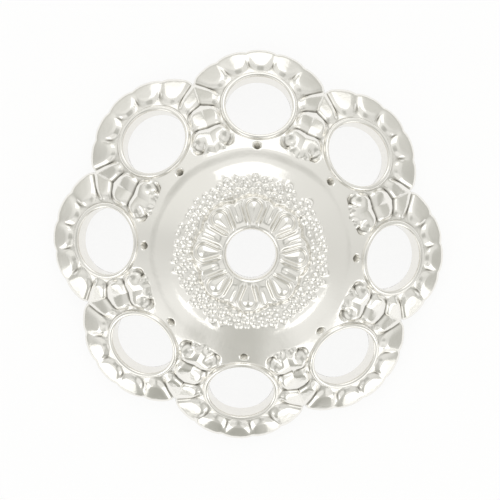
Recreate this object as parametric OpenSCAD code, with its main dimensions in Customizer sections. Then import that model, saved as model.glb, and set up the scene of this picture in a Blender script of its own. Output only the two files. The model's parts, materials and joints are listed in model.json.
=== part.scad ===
// Bead cap: one stamped and pierced sheet with eight cupped petals, dome up on its petal tips.
// Millimetres. The origin is the middle of the footprint and +Z points up.

/* [Cap] */
// Width over two opposite petal tips
cap_w = 10; // [9:0.5:10.5]
// Height of the crown above the surface that the tips stand on
cap_h = 2.35; // [2.3:0.05:2.8]
// Thickness of the sheet without its relief
sheet_t = 0.35; // [0.3:0.05:0.4]
// Depth of the valleys between the petals, at the edge
valley_h = 0.38; // [0.2:0.02:0.38]

/* [Openings] */
// Diameter of the bore for the wire
bore_d = 1.2; // [1:0.05:1.3]
// Diameter of the hole in each petal
hole_d = 1.65; // [1.4:0.05:1.7]

/* [Relief] */
// Height of the round collar of each petal hole
collar_h = 0.1; // [0.05:0.05:0.2]
// Height of the gadroons on the petals' border
gadroon_h = 0.12; // [0.04:0.02:0.16]
// Height of the grains round the rosette
grain_h = 0.12; // [0.04:0.02:0.16]
// Height of the rosette's ribs
rib_h = 0.1; // [0.04:0.02:0.12]
// Height of the step at the rosette's edge
boss_h = 0.15; // [0.1:0.05:0.2]
// Depth of the smooth cove outside the grains
cove_h = 0.08; // [0.05:0.01:0.15]
// Depth of the dot sunk at each petal's root
pit_h = 0.12; // [0.04:0.02:0.16]

/* [Hidden] */

PETALS = 8;
PITCH = 360 / PETALS;
HALF = PITCH / 2;
SILVER = "#d9d8d2";
// Sides that a preview draws on the bore and the holes
ROUND_FN = 64;

// Plan sizes, as shares of the radius at the petal tips
tip_r = cap_w / 2;
cusp_r = 0.88 * tip_r;
root_r = 0.52 * tip_r;
hole_c = 0.72 * tip_r;
scallop = 0.008 * tip_r;
collar_w = 0.026 * tip_r;

// The circle of a petal's edge goes through its tip and the two cusps beside it.
edge_r = tip_r - scallop;
lobe_c = (edge_r ^ 2 - cusp_r ^ 2) / (2 * (edge_r - cusp_r * cos(HALF)));
lobe_r = edge_r - lobe_c;
lobe_half = atan2(cusp_r * sin(HALF), cusp_r * cos(HALF) - lobe_c);

// The dome's line along a petal's middle, from the crown to the tip
tip_slope = -0.75;
tip_z = sheet_t * cos(atan(tip_slope));
crown_z = cap_h - boss_h - rib_h;
fall = crown_z - tip_z;
// Columns: share of the tip's radius, share of the fall, slope
DOME = [
    [0.00, 1.000, 0],
    [0.30, 0.957, -0.14],
    [0.39, 0.908, -0.25],
    [0.52, 0.790, -0.41],
    [0.72, 0.521, -0.57],
    [0.86, 0.278, -0.69],
    [0.94, 0.122, -0.73],
    [1.00, 0.000, tip_slope],
];

// The valleys start and reach their full depth at these shares of the tips' radius.
VALLEY_FROM = 0.48;
VALLEY_TO = 0.84;
// The step at the rosette's edge and the cove, as shares of the tips' radius
BOSS_R = 0.281;
BOSS_STEP = 0.008;
COVE_R = 0.449;
COVE_HALF = 0.071;

// Divisions of a petal's boundary: its edge, each valley, and the arc where it meets the centre
EDGE_N = 20;
VALLEY_N = 6;
ROOT_N = 8;
AROUND = EDGE_N + 2 * VALLEY_N + ROOT_N;
RING_N = PETALS * ROOT_N;
// Lifts of one gadroon on the edge and one in the valley, from groove to groove
EDGE_GADROON = [0, 0.8, 1, 0.8];
VALLEY_GADROON = [0, 1];
// Lifts across half a leaf of the rosette and back, from its midrib to the rib beside it
LEAF = [0.3, 0, 0, 0.2, 1, 0.2, 0, 0];

// The innermost ring lies inside the bore, which is cut through it, and the next one is its rim.
RING_IN_BORE = 0.15;
BORE_RIM = 0.08;
bore_r = bore_d / 2;
bore_in = (bore_r - RING_IN_BORE) / tip_r;
bore_out = (bore_r + BORE_RIM) / tip_r;

// Rings of the centre's outside and inside.
// Columns: radius as a share of the tip's, share of the rosette's outline, even lift, rib,
// grain, the grain's side, pit
C_R = 0;
C_OUTLINE = 1;
C_LIFT = 2;
C_RIB = 3;
C_GRAIN = 4;
C_SIDE = 5;
C_PIT = 6;
CENTRE_OUT = [
    [bore_in, 0, 0.4, 0, 0, 0, 0],
    [bore_out, 0, 0.4, 0, 0, 0, 0],
    [0.160, 0, 0.0, 0.7, 0, 0, 0],
    [0.205, 0.3, 0.0, 1, 0, 0, 0],
    [0.245, 0.7, 0.1, 1, 0, 0, 0],
    [0.271, 1, 0.8, 0.2, 0, 0, 0],
    [0.291, 1, 0, 0, 0, 0, 0],
    [0.312, 0.4, 0, 0, 1, 0, 0],
    [0.334, 0, 0, 0, 0, 0, 0],
    [0.356, 0, 0, 0, 1, 1, 0],
    [0.378, 0, 0, 0, 0, 0, 0],
    [0.405, 0, 0, 0, 0, 0, 0],
    [0.430, 0, 0, 0, 0, 0, 0],
    [0.455, 0, 0, 0, 0, 0, 0],
    [0.480, 0, 0, 0, 0, 0, 0],
    [0.500, 0, 0, 0, 0, 0, 0],
    [0.520, 0, 0, 0, 0, 0, 1],
];
CENTRE_IN = [
    [bore_in, 0, 0, 0, 0, 0, 0],
    [0.150, 0, 0, 0, 0, 0, 0],
    [0.220, 0.5, 0, 0, 0, 0, 0],
    [0.271, 1, 0, 0, 0, 0, 0],
    [0.291, 1, 0, 0, 0, 0, 0],
    [0.378, 0, 0, 0, 0, 0, 0],
    [0.450, 0, 0, 0, 0, 0, 0],
    [0.520, 0, 0, 0, 0, 0, 0],
];

// Rings of a petal, from inside its hole to its boundary.
// Columns: place across the collar, place across the border, collar lift, gadroon lift
P_COLLAR = 0;
P_BORDER = 1;
P_LIFT = 2;
P_GADROON = 3;
PETAL_OUT = [
    [-0.6, 0, 0.8, 0],
    [0.2, 0, 0.9, 0],
    [0.5, 0, 1, 0],
    [0.8, 0, 0.6, 0],
    [1, 0, 0, 0],
    [1, 0.2, 0, 0.7],
    [1, 0.5, 0, 1],
    [1, 0.8, 0, 0.9],
    [1, 1, 0, 0.4],
];
PETAL_IN = [
    [-0.6, 0, 0, 0],
    [0.8, 0, 0, 0],
    [1, 0.5, 0, 0],
    [1, 1, 0, 0],
];

function ease(from, to, x) =
    let (t = min(1, max(0, (x - from) / (to - from)))) t * t * (3 - 2 * t);

// A cubic through two rows of the dome's table
function between_rows(p, q, r) =
    let (
        w = (q[0] - p[0]) * tip_r,
        t = (r - p[0] * tip_r) / w,
        a = p[1] * fall,
        b = q[1] * fall
    )
    a + (b - a) * t * t * (3 - 2 * t) + w * t * (1 - t) * (p[2] * (1 - t) - q[2] * t);

function dome(r, row = 0) =
    row < len(DOME) - 2 && r > DOME[row + 1][0] * tip_r
        ? dome(r, row + 1)
        : tip_z + between_rows(DOME[row], DOME[row + 1], r);

// Angle from the middle of the nearest petal
function off_middle(theta) = theta - PITCH * round(theta / PITCH);

// The smooth form of the sheet: a dome with cupped petals
function form(x, y) =
    let (
        r = norm([x, y]),
        side = off_middle(atan2(y, x)) / HALF
    )
    dome(r) - valley_h * ease(VALLEY_FROM * tip_r, VALLEY_TO * tip_r, r) * side ^ 2;

// The direction square to the form, from the heights a very short way to each side
STEP = 0.001;
function normal(x, y) =
    let (
        along_x = (form(x + STEP, y) - form(x - STEP, y)) / (2 * STEP),
        along_y = (form(x, y + STEP) - form(x, y - STEP)) / (2 * STEP),
        n = [-along_x, -along_y, 1]
    )
    n / norm(n);

// The rosette's outline: eight leaf ends outside, and inside a recess with eight flat sides
OUTSIDE = 0;
INSIDE = -1;
LEAF_TIP = 1.03;
LEAF_END = 0.1;
function outline(theta, face) =
    face == OUTSIDE
        ? LEAF_TIP - LEAF_END * (off_middle(theta) / HALF) ^ 2
        : cos(HALF) / cos(off_middle(theta));

// What the die adds to each face: the rosette's boss and the cove round the grains
function figure(r, theta, face) =
    let (
        boss_edge = BOSS_R * tip_r * outline(theta, face),
        half_step = BOSS_STEP * tip_r,
        across = min(1, abs(r / tip_r - COVE_R) / COVE_HALF)
    )
    boss_h * (1 - ease(boss_edge - half_step, boss_edge + half_step, r))
        - cove_h * (1 - across ^ 2) ^ 2;

// A point of either face over a place in plan, lifted square to the sheet
function on_sheet(x, y, face, relief) =
    [x, y, form(x, y) + figure(norm([x, y]), atan2(y, x), face)]
        + (face == OUTSIDE ? relief : -sheet_t) * normal(x, y);

// The relief at place i of a ring of the centre, and the whole ring
function centre_lift(row, i) =
    rib_h * (row[C_LIFT] + row[C_RIB] * LEAF[i % ROOT_N])
        + grain_h * row[C_GRAIN] * ((i + row[C_SIDE]) % 2)
        - pit_h * row[C_PIT] * (i % ROOT_N == 0 ? 1 : 0);
function centre_ring(row, face) =
    [for (i = [0:RING_N - 1])
        let (
            theta = i * 360 / RING_N,
            r = row[C_R] * tip_r * (1 + row[C_OUTLINE] * (outline(theta, face) - 1))
        )
        on_sheet(r * cos(theta), r * sin(theta), face, centre_lift(row, i))];

// A petal's boundary in plan, with its middle along +X. It starts at the cusp on the petal's
// right and runs along the edge, down the left valley, along the root and up the right valley.
function edge_place(i) =
    let (
        phi = lobe_half * (2 * i / EDGE_N - 1),
        r = lobe_r + scallop * EDGE_GADROON[i % len(EDGE_GADROON)]
    )
    [lobe_c + r * cos(phi), r * sin(phi)];
function valley_place(j) =
    (root_r + (cusp_r - root_r) * j / VALLEY_N) * [cos(HALF), sin(HALF)];
function root_place(i) =
    let (phi = HALF - PITCH * i / ROOT_N) root_r * [cos(phi), sin(phi)];

// The places where the edge, the left valley and the root end
LEFT = EDGE_N;
ROOT = EDGE_N + VALLEY_N;
RIGHT = ROOT + ROOT_N;
function boundary(i) =
    i <= LEFT ? edge_place(i)
    : i <= ROOT ? valley_place(ROOT - i)
    : i <= RIGHT ? root_place(i - ROOT)
    : let (p = valley_place(i - RIGHT)) [p[0], -p[1]];

// How much of a gadroon's height there is at place i of the boundary
function gadroon(i) =
    i <= LEFT ? EDGE_GADROON[i % len(EDGE_GADROON)]
    : i <= ROOT ? VALLEY_GADROON[(i - LEFT) % len(VALLEY_GADROON)]
    : i <= RIGHT ? 0
    : VALLEY_GADROON[(i - RIGHT) % len(VALLEY_GADROON)];

// The petal hole stands square to the sheet, so it looks narrower in plan along the petal.
hole_n = normal(hole_c, 0);
hole_lean = atan2(hole_n[0], hole_n[2]);
hole_r = hole_d / 2;

function petal_place(row, i) =
    let (
        b = boundary(i),
        phi = atan2(b[1], (b[0] - hole_c) / cos(hole_lean)),
        rho = hole_r + collar_w * row[P_COLLAR],
        foot = [hole_c + rho * cos(phi) * cos(hole_lean), rho * sin(phi)]
    )
    foot + (b - foot) * row[P_BORDER];

// A place in plan turned from the first petal to petal k
function turned(p, k) =
    let (t = k * PITCH) [p[0] * cos(t) - p[1] * sin(t), p[0] * sin(t) + p[1] * cos(t)];

function petal_point(k, row, i, face) =
    let (
        p = turned(petal_place(row, i), k),
        relief = collar_h * row[P_LIFT] + gadroon_h * row[P_GADROON] * gadroon(i)
    )
    on_sheet(p[0], p[1], face, relief);

// A face of the sheet: its centre's rings, then the petals' inner rings, edges and valleys.
// The rings that two petals or a petal and the centre share are listed once.
function face_points(centre, petal, face) =
    let (last = len(petal) - 1)
    [
        for (row = centre) each centre_ring(row, face),
        for (k = [0:PETALS - 1], m = [0:last - 1], i = [0:AROUND - 1])
            petal_point(k, petal[m], i, face),
        for (k = [0:PETALS - 1], i = [1:EDGE_N - 1])
            petal_point(k, petal[last], i, face),
        for (k = [0:PETALS - 1], j = [1:VALLEY_N])
            petal_point(k, petal[last], ROOT - j, face),
    ];

// The numbers of those points in the list
function centre_id(ring, i) = ring * RING_N + (i + RING_N) % RING_N;
function edge_start(centre, petal) =
    len(centre) * RING_N + PETALS * (len(petal) - 1) * AROUND;
function valley_id(centre, petal, k, j) =
    edge_start(centre, petal) + PETALS * (EDGE_N - 1)
        + ((k + PETALS) % PETALS) * VALLEY_N + j - 1;
function boundary_id(centre, petal, k, i) =
    i == 0 ? valley_id(centre, petal, k - 1, VALLEY_N)
    : i < LEFT ? edge_start(centre, petal) + k * (EDGE_N - 1) + i - 1
    : i < ROOT ? valley_id(centre, petal, k, ROOT - i)
    : i <= RIGHT ? centre_id(len(centre) - 1, k * ROOT_N + ROOT_N / 2 - (i - ROOT))
    : valley_id(centre, petal, k - 1, i - RIGHT);
function petal_id(centre, petal, k, m, i) =
    let (w = i % AROUND)
    m == len(petal) - 1
        ? boundary_id(centre, petal, k, w)
        : len(centre) * RING_N + (k * (len(petal) - 1) + m) * AROUND + w;

// Two triangles for the four corners a, b, c, d in turn
function split(a, b, c, d) = [[a, b, c], [a, c, d]];

function face_quads(centre, petal) = [
    for (m = [0:len(centre) - 2], i = [0:RING_N - 1])
        [centre_id(m, i), centre_id(m, i + 1), centre_id(m + 1, i + 1), centre_id(m + 1, i)],
    for (k = [0:PETALS - 1], m = [0:len(petal) - 2], i = [0:AROUND - 1])
        [
            petal_id(centre, petal, k, m, i),
            petal_id(centre, petal, k, m, i + 1),
            petal_id(centre, petal, k, m + 1, i + 1),
            petal_id(centre, petal, k, m + 1, i),
        ],
];

// The walls that join both faces: in the bore, in each hole, and along each petal's edge
function wall_pairs(centre, petal) = [
    for (i = [0:RING_N - 1]) [centre_id(0, i), centre_id(0, i + 1)],
    for (k = [0:PETALS - 1], i = [0:AROUND - 1])
        [petal_id(centre, petal, k, 0, i), petal_id(centre, petal, k, 0, i + 1)],
    for (k = [0:PETALS - 1], i = [0:EDGE_N - 1])
        let (last = len(petal) - 1)
        [petal_id(centre, petal, k, last, i + 1), petal_id(centre, petal, k, last, i)],
];

module sheet() {
    outside = face_points(CENTRE_OUT, PETAL_OUT, OUTSIDE);
    inside = face_points(CENTRE_IN, PETAL_IN, INSIDE);
    n = len(outside);
    out_pairs = wall_pairs(CENTRE_OUT, PETAL_OUT);
    in_pairs = wall_pairs(CENTRE_IN, PETAL_IN);
    faces = [
        for (q = face_quads(CENTRE_OUT, PETAL_OUT)) each split(q[0], q[1], q[2], q[3]),
        for (q = face_quads(CENTRE_IN, PETAL_IN))
            each split(n + q[3], n + q[2], n + q[1], n + q[0]),
        for (w = [0:len(out_pairs) - 1])
            let (o = out_pairs[w], s = in_pairs[w])
            each split(n + s[0], n + s[1], o[1], o[0]),
    ];
    polyhedron(concat(outside, inside), faces);
}

// The cutters run well past both faces of the sheet.
bore_cut = 4 * cap_h;
hole_cut = 4 * sheet_t;

module bore() {
    cylinder(h = bore_cut, r = bore_r, center = true, $fn = ROUND_FN);
}

module petal_hole() {
    translate([hole_c, 0, form(hole_c, 0)])
        rotate([0, hole_lean, 0])
            cylinder(h = hole_cut, r = hole_r, center = true, $fn = ROUND_FN);
}

module cap() {
    color(SILVER)
        difference() {
            sheet();
            bore();
            for (k = [0:PETALS - 1])
                rotate(k * PITCH)
                    petal_hole();
        }
}

cap();
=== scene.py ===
# %% [markdown]
# # A stamped silver bead cap
#
# A bead cap is a small dome of sheet metal that sits on the end of a bead, with a bore in its
# crown for the wire. This one is a single stamping: a disc of sheet brass is struck between two
# dies, which raise the ornament and cup the eight petals, then the holes are pierced and the
# whole piece is silver plated. So it is one closed mesh here too.
#
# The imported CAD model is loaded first. It fixes the size, the place and the bore, and the
# dressed cap stays inside its box.

# %% Load the frame
import json
import math
import random

import bmesh
import bpy
from mathutils import Matrix, Vector, noise


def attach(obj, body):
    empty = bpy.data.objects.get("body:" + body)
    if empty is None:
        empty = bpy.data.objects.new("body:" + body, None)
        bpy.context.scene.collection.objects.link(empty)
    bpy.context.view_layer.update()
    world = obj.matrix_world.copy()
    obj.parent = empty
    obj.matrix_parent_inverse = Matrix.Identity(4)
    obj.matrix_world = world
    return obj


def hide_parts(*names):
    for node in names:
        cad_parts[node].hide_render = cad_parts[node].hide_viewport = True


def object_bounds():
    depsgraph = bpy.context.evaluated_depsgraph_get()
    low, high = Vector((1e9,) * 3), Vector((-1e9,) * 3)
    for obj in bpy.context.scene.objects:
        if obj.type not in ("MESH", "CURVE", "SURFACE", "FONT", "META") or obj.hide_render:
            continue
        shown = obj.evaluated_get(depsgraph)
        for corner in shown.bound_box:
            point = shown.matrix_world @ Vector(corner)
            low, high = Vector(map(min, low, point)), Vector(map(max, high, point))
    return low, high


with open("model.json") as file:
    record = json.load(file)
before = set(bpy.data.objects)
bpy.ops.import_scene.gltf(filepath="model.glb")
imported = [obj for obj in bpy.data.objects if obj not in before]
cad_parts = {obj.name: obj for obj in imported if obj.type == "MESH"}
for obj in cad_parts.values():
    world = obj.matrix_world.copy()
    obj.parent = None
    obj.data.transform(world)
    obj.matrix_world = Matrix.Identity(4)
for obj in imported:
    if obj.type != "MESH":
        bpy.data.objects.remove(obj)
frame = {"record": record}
cad_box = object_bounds()
MM = 0.001
cad_size = (cad_box[1] - cad_box[0]) / MM
print("CAD box in mm:", [round(side, 3) for side in cad_size])

# %% [markdown]
# ## Sizes
#
# The cap is drawn in millimetres and shrunk to metres at the very end, because numbers such as
# 0.15 are easier to think about than 0.00015. The width and height come from the CAD box and the
# bore from the record's mount, so the mesh follows the CAD if that is packed in another size.
# Sizes in plan are shares of the radius at the petal tips.

# %% Driving sizes
PETALS = 8
PITCH = 2 * math.pi / PETALS
HALF = PITCH / 2
# The relief on the petals leans out past the plain sheet's tips by less than this share
RELIEF_REACH = 0.008
TIP_R = cad_size.x / 2 * (1 - RELIEF_REACH)
TOP_Z = cad_size.z
BORE_R = frame["record"]["mounts"][0]["dims"]["r_mm"]
SHEET_T = 0.07 * TIP_R
HOLE_C = 0.72 * TIP_R
BOSS_H = 0.03 * TIP_R
RIB_H = 0.017 * TIP_R
print("tip radius", round(TIP_R, 3), "bore radius", BORE_R, "sheet", round(SHEET_T, 3))

# %% [markdown]
# ## The form of the sheet
#
# Under its ornament the sheet is one smooth surface. Going out from the crown it is nearly flat,
# then it falls ever more steeply to the petal tips, and between two petals it dips into a valley.
# A surface like this can be drawn as a height over each place in plan. The fall along a
# petal's middle is a short table of heights and slopes with a smooth cubic between its rows, and
# the dip grows with the square of the way from the petal's middle, which makes each petal round
# and leaves a crisp crease where two of them meet.

# %% Height of the plain sheet
TIP_SLOPE = -0.75
TIP_Z = SHEET_T * math.cos(math.atan(TIP_SLOPE))
# The rosette tops the crown by its boss and about half a rib
FALL = TOP_Z - BOSS_H - RIB_H / 2 - TIP_Z
# Columns: share of the tip radius, share of the fall, slope
DOME = (
    (0.00, 1.000, 0.00),
    (0.30, 0.957, -0.14),
    (0.39, 0.908, -0.25),
    (0.52, 0.790, -0.41),
    (0.72, 0.521, -0.57),
    (0.86, 0.278, -0.69),
    (0.94, 0.122, -0.73),
    (1.00, 0.000, TIP_SLOPE),
)
VALLEY_H = 0.076 * TIP_R
VALLEY_FROM = 0.48 * TIP_R
VALLEY_TO = 0.84 * TIP_R


def ease(start, end, x):
    """0 before the start, 1 after the end, and a smooth S between them."""
    t = min(1.0, max(0.0, (x - start) / (end - start)))
    return t * t * (3 - 2 * t)


def dome(r):
    """Height along a petal's middle, on a cubic between two rows of the table."""
    for p, q in zip(DOME, DOME[1:]):
        if r <= q[0] * TIP_R or q is DOME[-1]:
            break
    width = (q[0] - p[0]) * TIP_R
    t = (r - p[0] * TIP_R) / width
    rise = (q[1] - p[1]) * FALL * t * t * (3 - 2 * t)
    return TIP_Z + p[1] * FALL + rise + width * t * (1 - t) * (p[2] * (1 - t) - q[2] * t)


def off_middle(theta):
    """Angle from the middle of the nearest petal."""
    return theta - PITCH * round(theta / PITCH)


def form(x, y):
    """Height of the plain sheet over a place."""
    r = math.hypot(x, y)
    side = off_middle(math.atan2(y, x)) / HALF
    return dome(r) - VALLEY_H * ease(VALLEY_FROM, VALLEY_TO, r) * side * side


heights = [round(form(r, 0), 3) for r in (0, HOLE_C, TIP_R)]
print("height of the sheet at its crown, petal holes and tips:", heights)

# %% [markdown]
# ## Square to the sheet
#
# Ornament stands square to the sheet, so every place needs the sheet's normal. The heights a
# step outwards, inwards and to either side give it. A very short step would be the most exact,
# but beside a valley's crease the ornament then leans over the crease, and two petals cut
# through each other. So the step is a little longer than the ornament can lean.

# %% Normal of the plain sheet
# In mm
NORMAL_STEP = 0.07


def normal(x, y):
    """The direction square to the plain sheet over a place."""
    out = Vector((x, y)).normalized()
    tilt = Vector((0, 0))
    for way in (out, Vector((-out.y, out.x))):
        ahead = form(x + NORMAL_STEP * way.x, y + NORMAL_STEP * way.y)
        behind = form(x - NORMAL_STEP * way.x, y - NORMAL_STEP * way.y)
        tilt -= way * (ahead - behind) / (2 * NORMAL_STEP)
    return Vector((tilt.x, tilt.y, 1)).normalized()


hole_normal = normal(HOLE_C, 0)
hole_slope = math.degrees(hole_normal.angle((0, 0, 1)))
print("slope at the petal holes in degrees:", round(hole_slope, 1))

# %% [markdown]
# ## The crown's ornament
#
# The die gives the crown a rosette of eight leaves with raised outlines, a ring of fine grains
# round it, and a smooth sunk cove outside the grains. Each could be a mesh of its own laid on the
# sheet, but struck metal has no joints and its corners are soft. So each ornament is a small
# function that says how far the surface is lifted at a place, and the lifts are added up.
# A ridge is a bell curve across its line. A leaf is a drop shape: a narrow circle at the bore
# and a wide one at its end with straight sides between, so the distance to its outline is short
# to work out. One ridge follows the outline, a round pillow swells inside it, and a straight
# dart lies between each two leaves.

# %% Ridges and rounded edges
def ridge(distance, half_width):
    """A bell curve across a line, 1 on the line."""
    return math.exp(-((distance / half_width) ** 2))


def round_over(distance, radius):
    """How far a rounded edge has dropped at a distance from where the wall starts."""
    inwards = max(0.0, radius - max(0.0, distance))
    return radius - math.sqrt(radius * radius - inwards * inwards)


# %% The rosette and the cove
LEAF_R = 0.281 * TIP_R
# Reach of a leaf's end in its middle, and how much less it is at the leaf's sides
LEAF_TIP = 1.03
LEAF_BULGE = 0.1
LEAF_START = 0.120 * TIP_R
LEAF_END = 0.230 * TIP_R
LEAF_START_HALF = 0.024 * TIP_R
LEAF_END_HALF = 0.062 * TIP_R
STEP_W = 0.03 * TIP_R
RIB_W = 0.012 * TIP_R
# Heights on the rosette, as shares of the ridge along a leaf's outline
DART = 0.6
LIP = 0.5
PILLOW = 0.9
# A low lip runs round the bore, and the other ridges rise outside it
LIP_R = 1.14 * BORE_R
LIP_W = 1.6 * RIB_W
OUTLINE_FULL_R = 1.35 * BORE_R
DART_FROM_R = 1.3 * BORE_R
DART_FULL_R = 1.7 * BORE_R
COVE_R = 0.449 * TIP_R
COVE_W = 0.071 * TIP_R
COVE_H = 0.011 * TIP_R


def leaf_ends(theta):
    """How far the rosette reaches out in a direction."""
    return LEAF_R * (LEAF_TIP - LEAF_BULGE * (off_middle(theta) / HALF) ** 2)


def beside_leaf(r, theta):
    """Distance outside the outline of the nearest leaf, negative on the leaf."""
    side = off_middle(theta)
    along, across = r * math.cos(side), r * math.sin(side)
    t = min(1.0, max(0.0, (along - LEAF_START) / (LEAF_END - LEAF_START)))
    half = LEAF_START_HALF + (LEAF_END_HALF - LEAF_START_HALF) * t
    return math.hypot(along - LEAF_START - (LEAF_END - LEAF_START) * t, across) - half


def rosette(r, theta):
    """The step up to the eight leaves, and the ridges on them."""
    edge = leaf_ends(theta)
    on_boss = 1 - ease(edge - STEP_W / 2, edge + STEP_W / 2, r)
    beside = beside_leaf(r, theta)
    out_of_bore = ease(BORE_R, OUTLINE_FULL_R, r)
    rim = ridge(beside + RIB_W, RIB_W) * out_of_bore
    pillow = PILLOW * ease(2 * RIB_W, LEAF_END_HALF, -beside) * out_of_bore
    dart_side = (HALF - abs(off_middle(theta))) * r
    dart = DART * ridge(dart_side, RIB_W) * ease(DART_FROM_R, DART_FULL_R, r)
    lip = LIP * ridge(r - LIP_R, LIP_W)
    return on_boss * (BOSS_H + RIB_H * max(rim, dart, lip, pillow))


def cove(r):
    across = min(1.0, abs(r - COVE_R) / COVE_W)
    return -COVE_H * (1 - across * across) ** 2


print("rosette", round(BOSS_H + RIB_H, 3), "mm high, cove", round(COVE_H, 3), "mm deep")

# %% [markdown]
# ## The grains
#
# Granulation was once done by soldering tiny balls on. Here the die strikes three staggered rows
# of grains round the rosette and a few at the root of each valley. They come out of a worn tool
# a little uneven in place and size, which is drawn at random, with a fixed seed so that every
# run gives the same cap. The grains are kept by sector, so that a vertex only has to look at the
# few that lie near it.

# %% Grains round the rosette
GRAIN_R = 0.0175 * TIP_R
GRAIN_ROWS = (0.307, 0.337, 0.366)
GRAINS_IN_ROW = 52
# Most that a grain is shifted along its row, as a share of the way to the next one
GRAIN_SHIFT = 0.45
ROW_UNEVEN = 0.02
SIZE_UNEVEN = 0.4
rng = random.Random(7)


def uneven(amount):
    """A factor that strays from 1 by at most the amount."""
    return 1 + amount * (2 * rng.random() - 1)


def grain_at(radius, angle, size):
    return radius * math.cos(angle), radius * math.sin(angle), size


grains = []
for number, share in enumerate(GRAIN_ROWS):
    for place in range(GRAINS_IN_ROW):
        angle = 2 * math.pi * (place + number / 2 + GRAIN_SHIFT * rng.random()) / GRAINS_IN_ROW
        radius = share * TIP_R * uneven(ROW_UNEVEN)
        grains.append(grain_at(radius, angle, GRAIN_R * uneven(SIZE_UNEVEN)))
print(len(grains), "grains of", round(2 * GRAIN_R, 3), "mm round the rosette")

# %% Grains at the roots of the valleys
VALLEY_ROW_UNEVEN = 0.01
VALLEY_SIZE_UNEVEN = 0.18
# Columns: share of the tip radius, angle from the valley as a share of half a petal
VALLEY_GRAINS = (
    (0.538, 0.00),
    (0.545, 0.20),
    (0.545, -0.20),
    (0.573, 0.09),
    (0.573, -0.09),
    (0.605, 0.00),
    (0.636, 0.06),
    (0.660, -0.04),
)
for petal in range(PETALS):
    for share, side in VALLEY_GRAINS:
        angle = petal * PITCH + HALF + side * HALF
        radius = share * TIP_R * uneven(VALLEY_ROW_UNEVEN)
        grains.append(grain_at(radius, angle, GRAIN_R * uneven(VALLEY_SIZE_UNEVEN)))
print(len(grains), "grains in all")

# %% Lift of the grains
# Height of a grain as a share of its own radius
GRAIN_H = 0.65
SECTORS = 112


def sector(x, y):
    return int((math.atan2(y, x) / (2 * math.pi) % 1) * SECTORS) % SECTORS


grains_in = [[] for _ in range(SECTORS)]
for grain in grains:
    home = sector(grain[0], grain[1])
    for near in (-1, 0, 1):
        grains_in[(home + near) % SECTORS].append(grain)


def granulation(x, y):
    """Height of the grain over a place, or 0 between the grains."""
    height = 0.0
    for gx, gy, size in grains_in[sector(x, y)]:
        share = ((x - gx) ** 2 + (y - gy) ** 2) / (size * size)
        height = max(height, GRAIN_H * size * (1 - share))
    return height


print("most grains that one vertex looks at:", max(len(near) for near in grains_in))

# %% [markdown]
# ## One petal in plan
#
# A petal has a round hole with a collar, and from the collar short rounded lobes, called
# gadroons, run out to its edge and into the valleys beside it. All of this radiates from the
# hole, so the petal's net of faces should radiate from it too: rings round the hole that grow
# from a circle into the petal's own outline. The points of the outline are numbered, and each
# ends one spoke of the net. They run along the rounded edge, down the left valley, along a short
# arc where the petal meets the crown, and up the right valley. Neighbours share the points of
# their valley exactly. The hole is round square to the sheet, so in plan it is squashed by the
# slope.

# %% Outline of a petal
ROOT_R = 0.52 * TIP_R
CUSP_R = 0.88 * TIP_R
SCALLOP = 0.007 * TIP_R
EDGE_R = TIP_R - SCALLOP
# The rounded edge is an arc through the petal's tip and the two cusps beside it
LOBE_C = (EDGE_R**2 - CUSP_R**2) / (2 * (EDGE_R - CUSP_R * math.cos(HALF)))
LOBE_R = EDGE_R - LOBE_C
LOBE_HALF = math.atan2(CUSP_R * math.sin(HALF), CUSP_R * math.cos(HALF) - LOBE_C)
# Gadroons on the edge and in a valley, and the points that each of them takes
EDGE_LOBES = 5
EDGE_LOBE_N = 12
VALLEY_LOBES = 3
VALLEY_LOBE_N = 8
EDGE_N = EDGE_LOBES * EDGE_LOBE_N
VALLEY_N = VALLEY_LOBES * VALLEY_LOBE_N
ROOT_N = 56
# Numbers of the points where the left valley, the root and the right valley start
LEFT = EDGE_N
ROOT = LEFT + VALLEY_N
RIGHT = ROOT + ROOT_N
AROUND = RIGHT + VALLEY_N
LOBE_POWER = 2.6


def lobe(x):
    """Across one gadroon, 0 in the groove on either side and 1 on its back."""
    return 1 - abs(2 * (x % 1) - 1) ** LOBE_POWER


def edge_place(i):
    phi = LOBE_HALF * (2 * i / EDGE_N - 1)
    r = LOBE_R + SCALLOP * lobe(i * EDGE_LOBES / EDGE_N)
    return Vector((LOBE_C + r * math.cos(phi), r * math.sin(phi)))


def valley_place(j, side):
    r = ROOT_R + (CUSP_R - ROOT_R) * j / VALLEY_N
    return Vector((r * math.cos(HALF), side * r * math.sin(HALF)))


def outline(i):
    """Point i of the outline of the petal along +X."""
    if i <= LEFT:
        return edge_place(i)
    if i <= ROOT:
        return valley_place(ROOT - i, 1)
    if i <= RIGHT:
        phi = HALF - PITCH * (i - ROOT) / ROOT_N
        return Vector((ROOT_R * math.cos(phi), ROOT_R * math.sin(phi)))
    return valley_place(i - RIGHT, -1)


print("petal edge of radius", round(LOBE_R, 3), "mm, outline of", AROUND, "points")

# %% Places in the net of a petal
HOLE_R = 0.165 * TIP_R
COLLAR_W = 0.026 * TIP_R
SQUASH = math.cos(math.atan(hole_normal.x / hole_normal.z))


def petal_place(collar, border, i):
    """Place in plan at shares of the collar's and the border's width on spoke i."""
    end = outline(i)
    phi = math.atan2(end.y, (end.x - HOLE_C) / SQUASH)
    rho = HOLE_R + COLLAR_W * collar
    foot = Vector((HOLE_C + rho * math.cos(phi) * SQUASH, rho * math.sin(phi)))
    return foot + (end - foot) * border


print("petal hole", round(2 * HOLE_R, 3), "mm wide, in plan", round(2 * HOLE_R * SQUASH, 3), "mm")

# %% [markdown]
# ## The petal's ornament
#
# The collar looks like a ring of round wire, so its section is a half circle. A gadroon is a
# long pad: rounded where it starts beside the collar, nearly flat along its back, and rounded
# over at the edge. The narrow grooves between them run into the groove round the collar, which
# makes the small bright forks that such a border shows, and they fade towards the edge.

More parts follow.
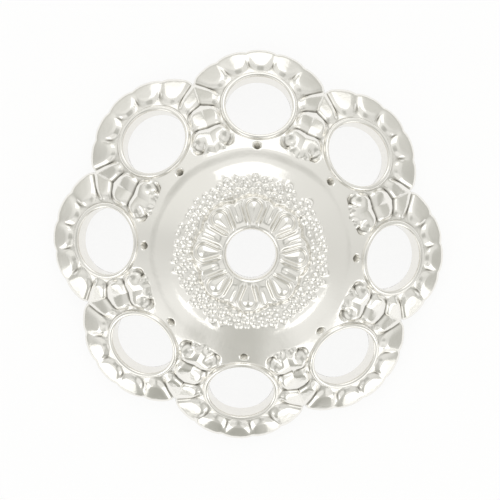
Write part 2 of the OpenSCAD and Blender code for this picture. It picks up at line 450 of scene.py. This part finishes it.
# %% Gadroons
GADROON_H = 0.021 * TIP_R
# Shares of the way from collar to edge: where a pad starts on its back, how much later it
# starts at its grooves, and how long it takes to rise
PAD_FROM = 0.03
PAD_ROUND = 0.3
PAD_RISE = 0.25
PAD_POWER = 5
# Depth of a groove as a share of the pad's height, how much of it is lost, and where
GROOVE = 0.65
GROOVE_LOSS = 0.45
LOSS_FROM = 0.3
LOSS_TO = 0.75


def pad(x):
    """Across one gadroon, with a flat back and narrow grooves."""
    return 1 - abs(2 * (x % 1) - 1) ** PAD_POWER


def spoke_lobe(i):
    """Where spoke i lies among the gadroons, a whole number in each groove."""
    if i <= LEFT:
        return i * EDGE_LOBES / EDGE_N
    if i <= ROOT:
        return (ROOT - i) * VALLEY_LOBES / VALLEY_N
    if i >= RIGHT:
        return (i - RIGHT) * VALLEY_LOBES / VALLEY_N
    return 0.0


def gadroon(border, i):
    """Share of the gadroons' height at a share of the way out on spoke i."""
    start = PAD_FROM + PAD_ROUND * (1 - lobe(spoke_lobe(i)))
    # The grooves in the valleys and at the cusps keep their depth
    from_cusp = min(i, EDGE_N - i) / EDGE_LOBE_N if i <= EDGE_N else 0.0
    groove = GROOVE - GROOVE_LOSS * ease(LOSS_FROM, LOSS_TO, border) * ease(0, 1, from_cusp)
    return ease(start, start + PAD_RISE, border) * (1 - groove * (1 - pad(spoke_lobe(i))))


print(PETALS * (EDGE_LOBES + VALLEY_LOBES * 2), "gadroons,", round(GADROON_H, 3), "mm high")

# %% The collar and the edge
COLLAR_H = 0.02 * TIP_R
EDGE_ROUND = 0.022 * TIP_R
# Past the cusps, by this factor on the edge's half angle, the edge is a neighbour's
PAST_CUSP = 1.15


def wire(x):
    """Half a circle across the collar."""
    return math.sqrt(max(0.0, 1 - (2 * x - 1) ** 2))


def edge_distance(p):
    """How far a place in plan is inside the petal's rounded edge."""
    arm = p - Vector((LOBE_C, 0))
    phi = math.atan2(arm.y, arm.x)
    if abs(phi) > LOBE_HALF * PAST_CUSP:
        return LOBE_R
    place = min(1.0, max(0.0, (phi / LOBE_HALF + 1) / 2))
    return LOBE_R + SCALLOP * lobe(place * EDGE_LOBES) - arm.length


def petal_lift(collar, border, i, p):
    """Lift of the collar or the border on spoke i, over the place p."""
    if border == 0:
        return COLLAR_H * wire(collar)
    lift = 0.0 if ROOT <= i <= RIGHT else GADROON_H * gadroon(border, i)
    return lift - round_over(edge_distance(p) / SQUASH, EDGE_ROUND)


print("collar", round(COLLAR_W, 3), "mm wide and", round(COLLAR_H, 3), "mm high")

# %% [markdown]
# ## Dots and scoops
#
# A small deep dot is sunk at each petal's root, with an oval scoop on either side of it. They
# lie across the line where the crown's net meets the petals' nets, so they are worked out from
# the place alone, whichever net asks, and so are the grains that stand between them.

# %% Sunk ornament at the roots
DOT_C = 0.528 * TIP_R
DOT_R = 0.018 * TIP_R
DOT_H = 0.034 * TIP_R
DOT_POWER = 0.7
SCOOP_C = 0.548 * TIP_R
SCOOP_SIDE = 0.152 * TIP_R
SCOOP_LONG = 0.030 * TIP_R
SCOOP_WIDE = 0.036 * TIP_R
SCOOP_H = 0.02 * TIP_R


def scoops(x, y):
    """The dot at the nearest petal's root and the oval scoops beside it."""
    r, side = math.hypot(x, y), off_middle(math.atan2(y, x))
    along, across = r * math.cos(side), abs(r * math.sin(side))
    dot = max(0.0, 1 - ((along - DOT_C) ** 2 + across**2) / DOT_R**2)
    oval = 1 - ((along - SCOOP_C) / SCOOP_LONG) ** 2 - ((across - SCOOP_SIDE) / SCOOP_WIDE) ** 2
    return -DOT_H * dot**DOT_POWER - SCOOP_H * math.sqrt(max(0.0, oval))


def struck(x, y, lift):
    """A lift with the scoops sunk into it and the grains standing out of it."""
    grain = granulation(x, y)
    sunk = lift + scoops(x, y)
    return max(sunk, grain) if grain > 0 else sunk


print("dots", round(2 * DOT_R, 3), "mm wide and", round(DOT_H, 3), "mm deep")

# %% [markdown]
# ## Struck sheet is never quite true
#
# Real petals differ a little in height and lean, because the sheet gives unevenly under the
# die. Moving single petals by hand would be guesswork. Two layers of smooth noise do it
# evenly: a long shallow wave tips whole petals, and a shorter one keeps the light from running
# round the smooth cove like a drawn circle.

# %% Waviness of the sheet
# Columns: length of the waves and their height in mm
WAVES = ((3.1, 0.035), (0.8, 0.014))


def wave(x, y):
    """How far the sheet strays from its form."""
    places = [Vector((x / length, y / length, length)) for length, _ in WAVES]
    return sum(high * noise.noise(place) for place, (_, high) in zip(places, WAVES))


strays = [wave(TIP_R * math.cos(k * PITCH), TIP_R * math.sin(k * PITCH)) for k in range(PETALS)]
print("petal tips stray by", [round(stray, 3) for stray in strays])

# %% [markdown]
# ## Both faces of the crown
#
# The outside of the crown carries the rosette, the cove and the grains. Its inside is much
# plainer, because the metal only follows the die roughly there: an eight-sided recess under the
# rosette with a fine crease at its foot, faint pricks under the grains, and metal pushed down
# round the bore by the punch. A petal is plain inside.

# %% Points of the crown
OUTSIDE = 1
INSIDE = -1
BORE_ROUND = 0.02 * TIP_R
RECESS_R = 0.281 * TIP_R
CREASE_W = 0.006 * TIP_R
CREASE_H = 0.014 * TIP_R
PUNCHED_R = 1.7 * BORE_R
PUNCHED_H = 0.018 * TIP_R
# Depth of the pricks as a share of the grains' height
PRICK = 0.5


def flat_sided(theta):
    """Reach of an eight-sided figure in a direction, 1 at its corners."""
    return math.cos(HALF) / math.cos(off_middle(theta))


def crown_point(r, theta, side):
    x, y = r * math.cos(theta), r * math.sin(theta)
    up = normal(x, y)
    z = form(x, y) + cove(r) + wave(x, y)
    if side == OUTSIDE:
        # So near the middle the crown is almost flat, and the rosette stands straight up
        lift = struck(x, y, 0.0) - round_over(r - BORE_R, BORE_ROUND)
        return Vector((x, y, z + rosette(r, theta))) + lift * up
    edge = RECESS_R * flat_sided(theta)
    z += BOSS_H * (1 - ease(edge - STEP_W / 4, edge + STEP_W / 4, r))
    z += CREASE_H * ridge(r - edge + STEP_W / 4, CREASE_W)
    z -= PUNCHED_H * (1 - ease(BORE_R, PUNCHED_R, r))
    prick = PRICK * granulation(x, y) if r < COVE_R else 0.0
    return Vector((x, y, z)) - (SHEET_T - prick - round_over(r - BORE_R, BORE_ROUND)) * up


print("recess", round(2 * RECESS_R, 2), "mm across its corners")

# %% Points of a petal
def petal_point(collar, border, i, side, turn):
    p = petal_place(collar, border, i)
    # The wall of the hole stands square to the sheet in the hole's middle
    away_from_hole = ease(0, 1, collar + 3 * border)
    up = hole_normal.lerp(normal(p.x, p.y), away_from_hole).normalized()
    turned = turn @ Vector((p.x, p.y, 0))
    z = form(p.x, p.y) + cove(p.length) + wave(turned.x, turned.y)
    base = Vector((p.x, p.y, z))
    if side == OUTSIDE:
        lift = struck(turned.x, turned.y, petal_lift(collar, border, i, p))
    else:
        lift = -SHEET_T + round_over(edge_distance(p) / SQUASH, EDGE_ROUND)
        lift += round_over(collar * COLLAR_W, EDGE_ROUND) if border == 0 else 0.0
    return turn @ (base + lift * up)


tip = petal_point(1.0, 1.0, EDGE_N // 2, OUTSIDE, Matrix.Identity(3))
print("tip of the first petal at", [round(c, 3) for c in tip])

# %% [markdown]
# ## Where the rings lie
#
# Faces are spent where the ornament is fine and saved where the metal is smooth. So the rings of
# the nets are close together over the step at the leaves' ends, over the grains, on the collars
# and at the rounded edges, and far apart between them and inside.

# %% Rings of the crown and the petals
def spread(start, end, count):
    """Even steps from the start, without the end."""
    return [start + (end - start) * k / count for k in range(count)]


# The first rings round the bore widen, for its rounded rim
BORE_RIM = [BORE_R + 0.02 * k * k for k in range(3)]
RIM_END = BORE_R + 0.1
GRAINS_END = 0.385 * TIP_R
COVE_END = 0.5 * TIP_R
CROWN_OUTSIDE = (
    BORE_RIM
    + spread(RIM_END, 0.88 * LEAF_R, 16)
    + spread(0.88 * LEAF_R, 1.08 * LEAF_R, 12)
    + spread(1.08 * LEAF_R, GRAINS_END, 22)
    + spread(GRAINS_END, COVE_END, 9)
    + spread(COVE_END, ROOT_R, 5)
    + [ROOT_R]
)
CROWN_INSIDE = (
    BORE_RIM
    + spread(RIM_END, 0.9 * LEAF_R, 4)
    + spread(0.9 * LEAF_R, 1.06 * LEAF_R, 7)
    + spread(1.06 * LEAF_R, GRAINS_END, 6)
    + spread(GRAINS_END, ROOT_R, 4)
    + [ROOT_R]
)
# Rings of a petal: how far across the collar, then how far across the border. On the outside
# the collar's rings divide its half circle evenly.
PETAL_OUTSIDE = (
    [((1 - math.cos(math.pi * k / 10)) / 2, 0.0) for k in range(11)]
    + [(1.0, share) for share in spread(0.06, 0.84, 11)]
    + [(1.0, share) for share in (0.84, 0.89, 0.93, 0.96, 0.985, 1.0)]
)
PETAL_INSIDE = (
    [(share, 0.0) for share in (0.0, 0.05, 0.2, 0.5, 1.0)]
    + [(1.0, share) for share in spread(0.2, 0.86, 3)]
    + [(1.0, share) for share in (0.86, 0.93, 0.98, 1.0)]
)
print("rings of the crown:", len(CROWN_OUTSIDE), "outside,", len(CROWN_INSIDE), "inside")
print("rings of a petal:", len(PETAL_OUTSIDE), "outside,", len(PETAL_INSIDE), "inside")

# %% [markdown]
# ## Spinning the nets
#
# A net that radiates from a middle is what the spin operator makes: a row of vertices is turned
# full circle and leaves a ring of quads behind each step. The crown's net is spun once, round
# the bore. A petal's net is spun as plain round rings too, and every vertex is then moved from
# its ring and spoke to its place on the petal.

# %% Spin a net and lift it to the outside or the inside
def spun(radii, steps):
    """A net of round rings, one at each radius."""
    bm = bmesh.new()
    row = [bm.verts.new((r, 0, 0)) for r in radii]
    edges = [bm.edges.new(pair) for pair in zip(row, row[1:])]
    bmesh.ops.spin(
        bm,
        geom=row + edges,
        cent=(0, 0, 0),
        axis=(0, 0, 1),
        angle=2 * math.pi,
        steps=steps,
        use_merge=True,
    )
    return bm


def crown_net(side):
    bm = spun(CROWN_OUTSIDE if side == OUTSIDE else CROWN_INSIDE, PETALS * ROOT_N)
    for v in bm.verts:
        v.co = crown_point(v.co.xy.length, math.atan2(v.co.y, v.co.x), side)
    return bm


def petal_net(number, side):
    rings = PETAL_OUTSIDE if side == OUTSIDE else PETAL_INSIDE
    turn = Matrix.Rotation(number * PITCH, 3, "Z")
    bm = spun([1.0 + k for k in range(len(rings))], AROUND)
    # A vertex's radius tells its ring, and its angle its spoke
    for v in bm.verts:
        collar, border = rings[round(v.co.xy.length) - 1]
        spoke = round(math.atan2(v.co.y, v.co.x) / (2 * math.pi) * AROUND) % AROUND
        v.co = petal_point(collar, border, spoke, side, turn)
    return bm


print("spokes:", PETALS * ROOT_N, "in the crown's net,", AROUND, "in a petal's")

# %% [markdown]
# ## Joining the faces of the sheet
#
# The nets of the crown and the eight petals meet in the same points, so merging doubles sews
# them into one sheet with nine holes. Two such sheets, the ornamented outside and the plainer
# inside, become solid metal when their open borders are bridged: the bore, the eight petal holes
# and the long wavy edge. The Solidify modifier could give the sheet its thickness in one go, but
# it would copy every grain to the inside, which on the real cap is almost smooth.

# %% Sew the nets to the two faces of the sheet
# Points nearer to each other than this, in mm, are the same
WELD = 0.0005


def pour(source, target):
    """Add the faces of one bmesh to another and free the first."""
    scratch = bpy.data.meshes.new("scratch")
    source.to_mesh(scratch)
    source.free()
    target.from_mesh(scratch)
    bpy.data.meshes.remove(scratch)


def skin(side):
    """One face of the whole sheet, with its normals out of the metal."""
    whole = bmesh.new()
    pour(crown_net(side), whole)
    for number in range(PETALS):
        pour(petal_net(number, side), whole)
    bmesh.ops.remove_doubles(whole, verts=whole.verts[:], dist=WELD)
    bmesh.ops.recalc_face_normals(whole, faces=whole.faces[:])
    up = sum(f.normal.z * f.calc_area() for f in whole.faces)
    if up * side < 0:
        bmesh.ops.reverse_faces(whole, faces=whole.faces[:])
    return whole


cap = skin(OUTSIDE)
inner = skin(INSIDE)
print("outside", len(cap.faces), "faces, inside", len(inner.faces), "faces")
pour(inner, cap)

# %% Bridge the borders
def border_loops(bm):
    """The open borders, each as a list of its edges."""
    border = [e for e in bm.edges if e.is_boundary]
    loose = set(border)
    loops = []
    for start in border:
        if start not in loose:
            continue
        loose.remove(start)
        todo = [start]
        loop = []
        while todo:
            edge = todo.pop()
            loop.append(edge)
            for near in (e for v in edge.verts for e in v.link_edges):
                if near in loose:
                    loose.remove(near)
                    todo.append(near)
        loops.append(loop)
    return loops


def middle(loop):
    verts = {v for e in loop for v in e.verts}
    return sum((v.co for v in verts), Vector()) / len(verts)


loops = border_loops(cap)
print("borders to bridge:", len(loops))
while loops:
    first = loops.pop()
    same = [other for other in loops if len(other) == len(first)]
    second = min(same, key=lambda other: (middle(other) - middle(first)).length)
    loops.remove(second)
    bmesh.ops.bridge_loops(cap, edges=first + second)
print("open edges left:", sum(e.is_boundary for e in cap.edges))

# %% [markdown]
# ## Down to the table, and to size
#
# The waves and the relief leave the mesh a few thousandths off the planned width and height. It
# is set down on the table, which is at height 0, and scaled by that little to the CAD's own
# width, depth and height.

# %% Fit it to the CAD box
def box_of(bm):
    corners = [[pick(v.co[axis] for v in bm.verts) for axis in range(3)] for pick in (min, max)]
    return Vector(corners[0]), Vector(corners[1])


low, high = box_of(cap)
fit = Vector(cad_size[axis] / (high - low)[axis] for axis in range(3))
bmesh.ops.translate(cap, vec=(0, 0, -low.z), verts=cap.verts[:])
bmesh.ops.scale(cap, vec=fit, verts=cap.verts[:])
cap.normal_update()
print("scaled to fit the CAD box by", [round(share, 4) for share in fit])

# %% [markdown]
# ## Painted shade and duller film in the hollows
#
# Tumbling polishes what stands proud and leaves grooves and pits duller, and here they are also
# painted darker, which is painted shade. A shader can't tell how deep a place lies, and painting
# it by hand would never end. But smoothing a surface fills its hollows and wears down its ridges,
# so a smoothed copy of the mesh tells both: where the copy lies outside the cap, the cap is hollow
# there. The depth is kept on the vertices as an attribute, and the silver reads it.

# %% Measure the hollows
# Passes of smoothing
SMOOTHING = 10
# Depth in mm that the attribute counts as 1
HOLLOW_UNIT = 0.012


def mark_hollows(bm):
    """Keep each vertex's hollowness as an attribute and return them all, sorted."""
    smooth = bm.copy()
    for _ in range(SMOOTHING):
        bmesh.ops.smooth_vert(
            smooth,
            verts=smooth.verts[:],
            factor=0.5,
            use_axis_x=True,
            use_axis_y=True,
            use_axis_z=True,
        )
    hollow = bm.verts.layers.float.new("hollow")
    for v, filled in zip(bm.verts, smooth.verts):
        v[hollow] = (filled.co - v.co).dot(v.normal) / HOLLOW_UNIT
    smooth.free()
    return sorted(v[hollow] for v in bm.verts)


depths = mark_hollows(cap)
print("lowest, middle and highest:", [round(depths[k], 2) for k in (0, len(depths) // 2, -1)])

# %% Make the object
bmesh.ops.scale(cap, vec=(MM, MM, MM), verts=cap.verts[:])
for face in cap.faces:
    face.smooth = True
cap_mesh = bpy.data.meshes.new("bead_cap")
cap.to_mesh(cap_mesh)
cap.free()
bead_cap = bpy.data.objects.new("bead_cap", cap_mesh)
bpy.context.scene.collection.objects.link(bead_cap)
cap_mesh.calc_loop_triangles()
print("bead cap:", len(cap_mesh.loop_triangles), "triangles")

# %% [markdown]
# ## Silver plate
#
# A few micrometres of bright silver lie on the brass, so the colour is silver's own: a metal
# with a high, nearly neutral reflection that is a touch warm. Freshly polished silver has a
# roughness near 0.1. Tumbling leaves it a little duller in places, over about half the width of
# a petal, with fine dents. The hollows are duller too, and darker as painted shade: a thin grey
# in the grooves, which draws the lines of the ornament, and nearly black at the bottom of the dots.

# %% Helpers for materials
def linear(hex_colour):
    """An sRGB hex colour as the linear values that a socket takes."""
    channels = [int(hex_colour[k : k + 2], 16) / 255 for k in (1, 3, 5)]
    return [c / 12.92 if c <= 0.04045 else ((c + 0.055) / 1.055) ** 2.4 for c in channels] + [1.0]


def add(tree, kind, settings=(), inputs=(), links=()):
    """Add a node with its settings, the values of its inputs and the links into it."""
    node = tree.nodes.new(kind)
    for name, value in dict(settings).items():
        setattr(node, name, value)
    for name, value in dict(inputs).items():
        node.inputs[name].default_value = value
    for name, source in dict(links).items():
        tree.links.new(source, node.inputs[name])
    return node


SILVER = "#f2f0eb"
# Painted shade: the grooves and the bottoms of the dots are coloured darker than the silver
PAINTED_SHADE_IN_GROOVES = "#b2afa7"
PAINTED_SHADE_IN_DOTS = "#3a3833"
print("silver's own colour in linear values:", [round(c, 3) for c in linear(SILVER)])

# %% The silver
# Hollowness at which the painted shade and the duller film start and at which they are full
SHADE_AND_FILM_FROM = 1.0
SHADE_AND_FILM_FULL = 4.2
# Roughness that a full film adds, and the bare silver's least and most
FILM_DULLS = 0.2
BRIGHTEST = 0.09
DULLEST = 0.17
# Width in mm of the duller places, and values that the noise seldom leaves
WANDER_SIZE = 2.0
NOISE_LOW = 0.3
NOISE_HIGH = 0.7
# In mm. Real tumbling marks are finer, and these are as coarse as they need to be to show.
DENT_SIZE = 0.12
DENT_DEPTH = 0.02
DENT_STRENGTH = 0.12


def silver_plate():
    material = bpy.data.materials.new("silver_plate_on_brass")
    material.use_nodes = True
    tree = material.node_tree
    tree.nodes.clear()
    place = add(tree, "ShaderNodeTexCoord").outputs["Object"]
    depth = add(tree, "ShaderNodeAttribute", {"attribute_name": "hollow"}).outputs["Fac"]
    # The depth drives both the painted shade in the colour and the duller roughness
    shade_and_film = add(
        tree,
        "ShaderNodeMapRange",
        inputs={"From Min": SHADE_AND_FILM_FROM, "From Max": SHADE_AND_FILM_FULL},
        links={"Value": depth},
    ).outputs["Result"]
    # The colour darkens with depth as painted shade: grey in the grooves, nearly black in the dots
    tone = add(tree, "ShaderNodeValToRGB", links={"Fac": shade_and_film})
    tone.color_ramp.elements[0].color = linear(SILVER)
    tone.color_ramp.elements[1].color = linear(PAINTED_SHADE_IN_DOTS)
    in_grooves = tone.color_ramp.elements.new(0.5)
    in_grooves.color = linear(PAINTED_SHADE_IN_GROOVES)
    wander = add(
        tree,
        "ShaderNodeTexNoise",
        inputs={"Scale": 1 / (WANDER_SIZE * MM), "Detail": 3.0},
        links={"Vector": place},
    ).outputs["Fac"]
    polish = add(
        tree,
        "ShaderNodeMapRange",
        inputs={
            "From Min": NOISE_LOW,
            "From Max": NOISE_HIGH,
            "To Min": BRIGHTEST,
            "To Max": DULLEST,
        },
        links={"Value": wander},
    ).outputs["Result"]
    rough = add(
        tree,
        "ShaderNodeMath",
        {"operation": "MULTIPLY_ADD"},
        inputs={1: FILM_DULLS},
        links={0: shade_and_film, 2: polish},
    ).outputs["Value"]
    marks = add(
        tree,
        "ShaderNodeTexNoise",
        inputs={"Scale": 1 / (DENT_SIZE * MM), "Detail": 4.0},
        links={"Vector": place},
    ).outputs["Fac"]
    dents = add(
        tree,
        "ShaderNodeBump",
        inputs={"Strength": DENT_STRENGTH, "Distance": DENT_DEPTH * MM},
        links={"Height": marks},
    ).outputs["Normal"]
    shader = add(
        tree,
        "ShaderNodeBsdfPrincipled",
        inputs={"Metallic": 1.0},
        links={"Base Color": tone.outputs["Color"], "Roughness": rough, "Normal": dents},
    )
    add(tree, "ShaderNodeOutputMaterial", links={"Surface": shader.outputs["BSDF"]})
    return material


bead_cap.data.materials.append(silver_plate())
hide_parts("cap")
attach(bead_cap, "root")
print("bead cap in", bead_cap.data.materials[0].name)

# %% [markdown]
# ## The light table
#
# Bright metal has almost no look of its own: it shows its surroundings, so the light is designed
# as what the silver reflects. The cap lies on a sheet of opal glass that is lit mostly from
# below. A plain white floor would turn grey under the cap and in its pierced holes, and this one
# stays white there, because the glass glows and reflects little: it is a mid grey to the light
# from above.

# %% Floor
FLOOR_HALF = 0.3
floor_mesh = bpy.data.meshes.new("floor")
table = bmesh.new()
bmesh.ops.create_grid(table, x_segments=1, y_segments=1, size=FLOOR_HALF)
table.to_mesh(floor_mesh)
table.free()
floor = bpy.data.objects.new("floor", floor_mesh)
bpy.context.scene.collection.objects.link(floor)


def light_table():
    material = bpy.data.materials.new("opal_light_table")
    material.use_nodes = True
    shader = material.node_tree.nodes["Principled BSDF"]
    shader.inputs["Base Color"].default_value = linear("#747474")
    shader.inputs["Roughness"].default_value = 0.8
    shader.inputs["Emission Color"].default_value = linear("#fefefe")
    shader.inputs["Emission Strength"].default_value = 0.83
    return material


floor.data.materials.append(light_table())
print("table", round(floor.dimensions.x, 2), "m wide")

# %% [markdown]
# ## The tent and its panels
#
# A pale tent is closed round the table, sewn from eight gores that meet overhead. A tent of one
# white would leave the silver without any drawing. So the gores to the left, the right and the
# near side are of greyer cloth, and the metal that faces them turns grey. The tent is dimmer
# overhead, for the flat crown, and in a band low round the table, for the steep petals. Three
# soft panels stand low before the white gores and burn the slopes that face them to white.

# %% Panels
LAMP_DISTANCE = 0.12
# Columns: name, azimuth and elevation in degrees, radiance, width and height in metres
PANELS = (
    ("panel_back", 91, 30, 0.42, 0.09, 0.09),
    ("panel_right", -48, 16, 0.65, 0.095, 0.06),
    ("panel_left", -130, 17, 0.65, 0.095, 0.06),
)


def panel(name, azimuth, elevation, radiance, width, height):
    """A soft panel that looks at the cap and adds its radiance to the tent's behind it."""
    light = bpy.data.lights.new(name, "AREA")
    light.shape = "RECTANGLE"
    light.size, light.size_y = width, height
    light.energy = radiance * math.pi * width * height
    lamp = bpy.data.objects.new(name, light)
    bpy.context.scene.collection.objects.link(lamp)
    a, e = math.radians(azimuth), math.radians(elevation)
    away = Vector((math.cos(a) * math.cos(e), math.sin(a) * math.cos(e), math.sin(e)))
    lamp.location = away * LAMP_DISTANCE
    lamp.rotation_euler = away.to_track_quat("Z", "Y").to_euler()


for row in PANELS:
    panel(*row)
print(len(PANELS), "panels at", LAMP_DISTANCE, "m")

# %% Tent
# Tints of the gores from the left over the near side, the right and the back
GORES = ("#e6e6e5", "#ffffff", "#cfcfcc", "#ffffff", "#e8e8e7", "#f2f2f1", "#ffffff", "#fafaf9")
CLOTH = "#fafaf8"
CLOTH_TOP = "#c8c8c4"
ABOVE_BAND = "#ffffff"
BAND = "#dcdcd9"
# The camera leans to the back, so the crown mirrors a point this far on the near side of the
# zenith, and the gores meet there
SEAM_Y = -0.105
# Heights on a sphere of radius 1: where the tent starts to dim and where it is dimmest, towards
# the top and towards the table
DIM_FROM = 0.90
DIM_TOP = 0.99
BAND_FROM = 0.36
BAND_LOW = 0.10


def studio_tent():
    """A world that multiplies the gores' tints with the cloth and the band."""
    world = bpy.data.worlds.new("studio_tent")
    world.use_nodes = True
    tree = world.node_tree
    direction = add(tree, "ShaderNodeTexCoord").outputs["Generated"]
    axes = add(tree, "ShaderNodeSeparateXYZ", links={"Vector": direction}).outputs
    centred = add(
        tree,
        "ShaderNodeMapping",
        inputs={"Location": (0, -SEAM_Y, 0)},
        links={"Vector": direction},
    ).outputs["Vector"]
    turn = add(
        tree,
        "ShaderNodeTexGradient",
        {"gradient_type": "RADIAL"},
        links={"Vector": centred},
    ).outputs["Fac"]
    gores = add(tree, "ShaderNodeValToRGB", links={"Fac": turn})
    gores.color_ramp.interpolation = "EASE"
    for number in range(1, len(GORES)):
        gores.color_ramp.elements.new(number / len(GORES))
    for stop, tint in zip(gores.color_ramp.elements, GORES + GORES[:1]):
        stop.color = linear(tint)
    overhead = add(
        tree,
        "ShaderNodeMapRange",
        inputs={"From Min": DIM_FROM, "From Max": DIM_TOP},
        links={"Value": axes["Z"]},
    ).outputs["Result"]
    cloth = add(tree, "ShaderNodeValToRGB", links={"Fac": overhead})
    cloth.color_ramp.elements[0].color = linear(CLOTH)
    cloth.color_ramp.elements[1].color = linear(CLOTH_TOP)
    low_down = add(
        tree,
        "ShaderNodeMapRange",
        inputs={"From Min": BAND_FROM, "From Max": BAND_LOW},
        links={"Value": axes["Z"]},
    ).outputs["Result"]
    band = add(tree, "ShaderNodeValToRGB", links={"Fac": low_down})
    band.color_ramp.elements[0].color = linear(ABOVE_BAND)
    band.color_ramp.elements[1].color = linear(BAND)
    colour = cloth.outputs["Color"]
    for layer in (gores, band):
        colour = add(
            tree,
            "ShaderNodeVectorMath",
            {"operation": "MULTIPLY"},
            links={0: colour, 1: layer.outputs["Color"]},
        ).outputs["Vector"]
    tree.links.new(colour, tree.nodes["Background"].inputs["Color"])
    return world


bpy.context.scene.world = studio_tent()
bpy.context.scene.view_settings.view_transform = "Standard"
print("tent of", len(GORES), "gores")

# %% [markdown]
# ## The camera
#
# Small findings are photographed from above with a long lens, which keeps the petals on all
# sides equally large. This camera stands a few degrees off the bore's axis, looks at the middle
# of the cap's height, and is rolled a little, so that the petals point where they do in the
# photograph.

# %% Camera
# Degrees: the lean off the axis, the lean's turn from straight back, and the roll
CAMERA_LEAN = 6
CAMERA_SIDE = 18
CAMERA_ROLL = 3.5
LENS = 100
# Share of the picture that the cap's width fills
FILL = 0.8
camera_data = bpy.data.cameras.new("camera")
camera_data.lens = LENS
# The camera is only a few centimetres away
camera_data.clip_start = 0.001
camera_data.clip_end = 5.0
camera = bpy.data.objects.new("camera", camera_data)
bpy.context.scene.collection.objects.link(camera)
bpy.context.scene.camera = camera
half_view = math.atan(camera_data.sensor_width / 2 / LENS)
distance = cad_size.x * MM / FILL / 2 / math.tan(half_view)
target = Vector((0, 0, TOP_Z * MM / 2))
sideways = Matrix.Rotation(math.radians(CAMERA_SIDE), 4, "Z")
aim = sideways @ Matrix.Rotation(math.radians(-CAMERA_LEAN), 4, "X") @ sideways.inverted()
roll = Matrix.Rotation(math.radians(CAMERA_ROLL), 4, "Z")
camera.matrix_world = Matrix.Translation(target) @ aim @ roll @ Matrix.Translation((0, 0, distance))
print("camera", round(distance / MM, 1), "mm above the cap")
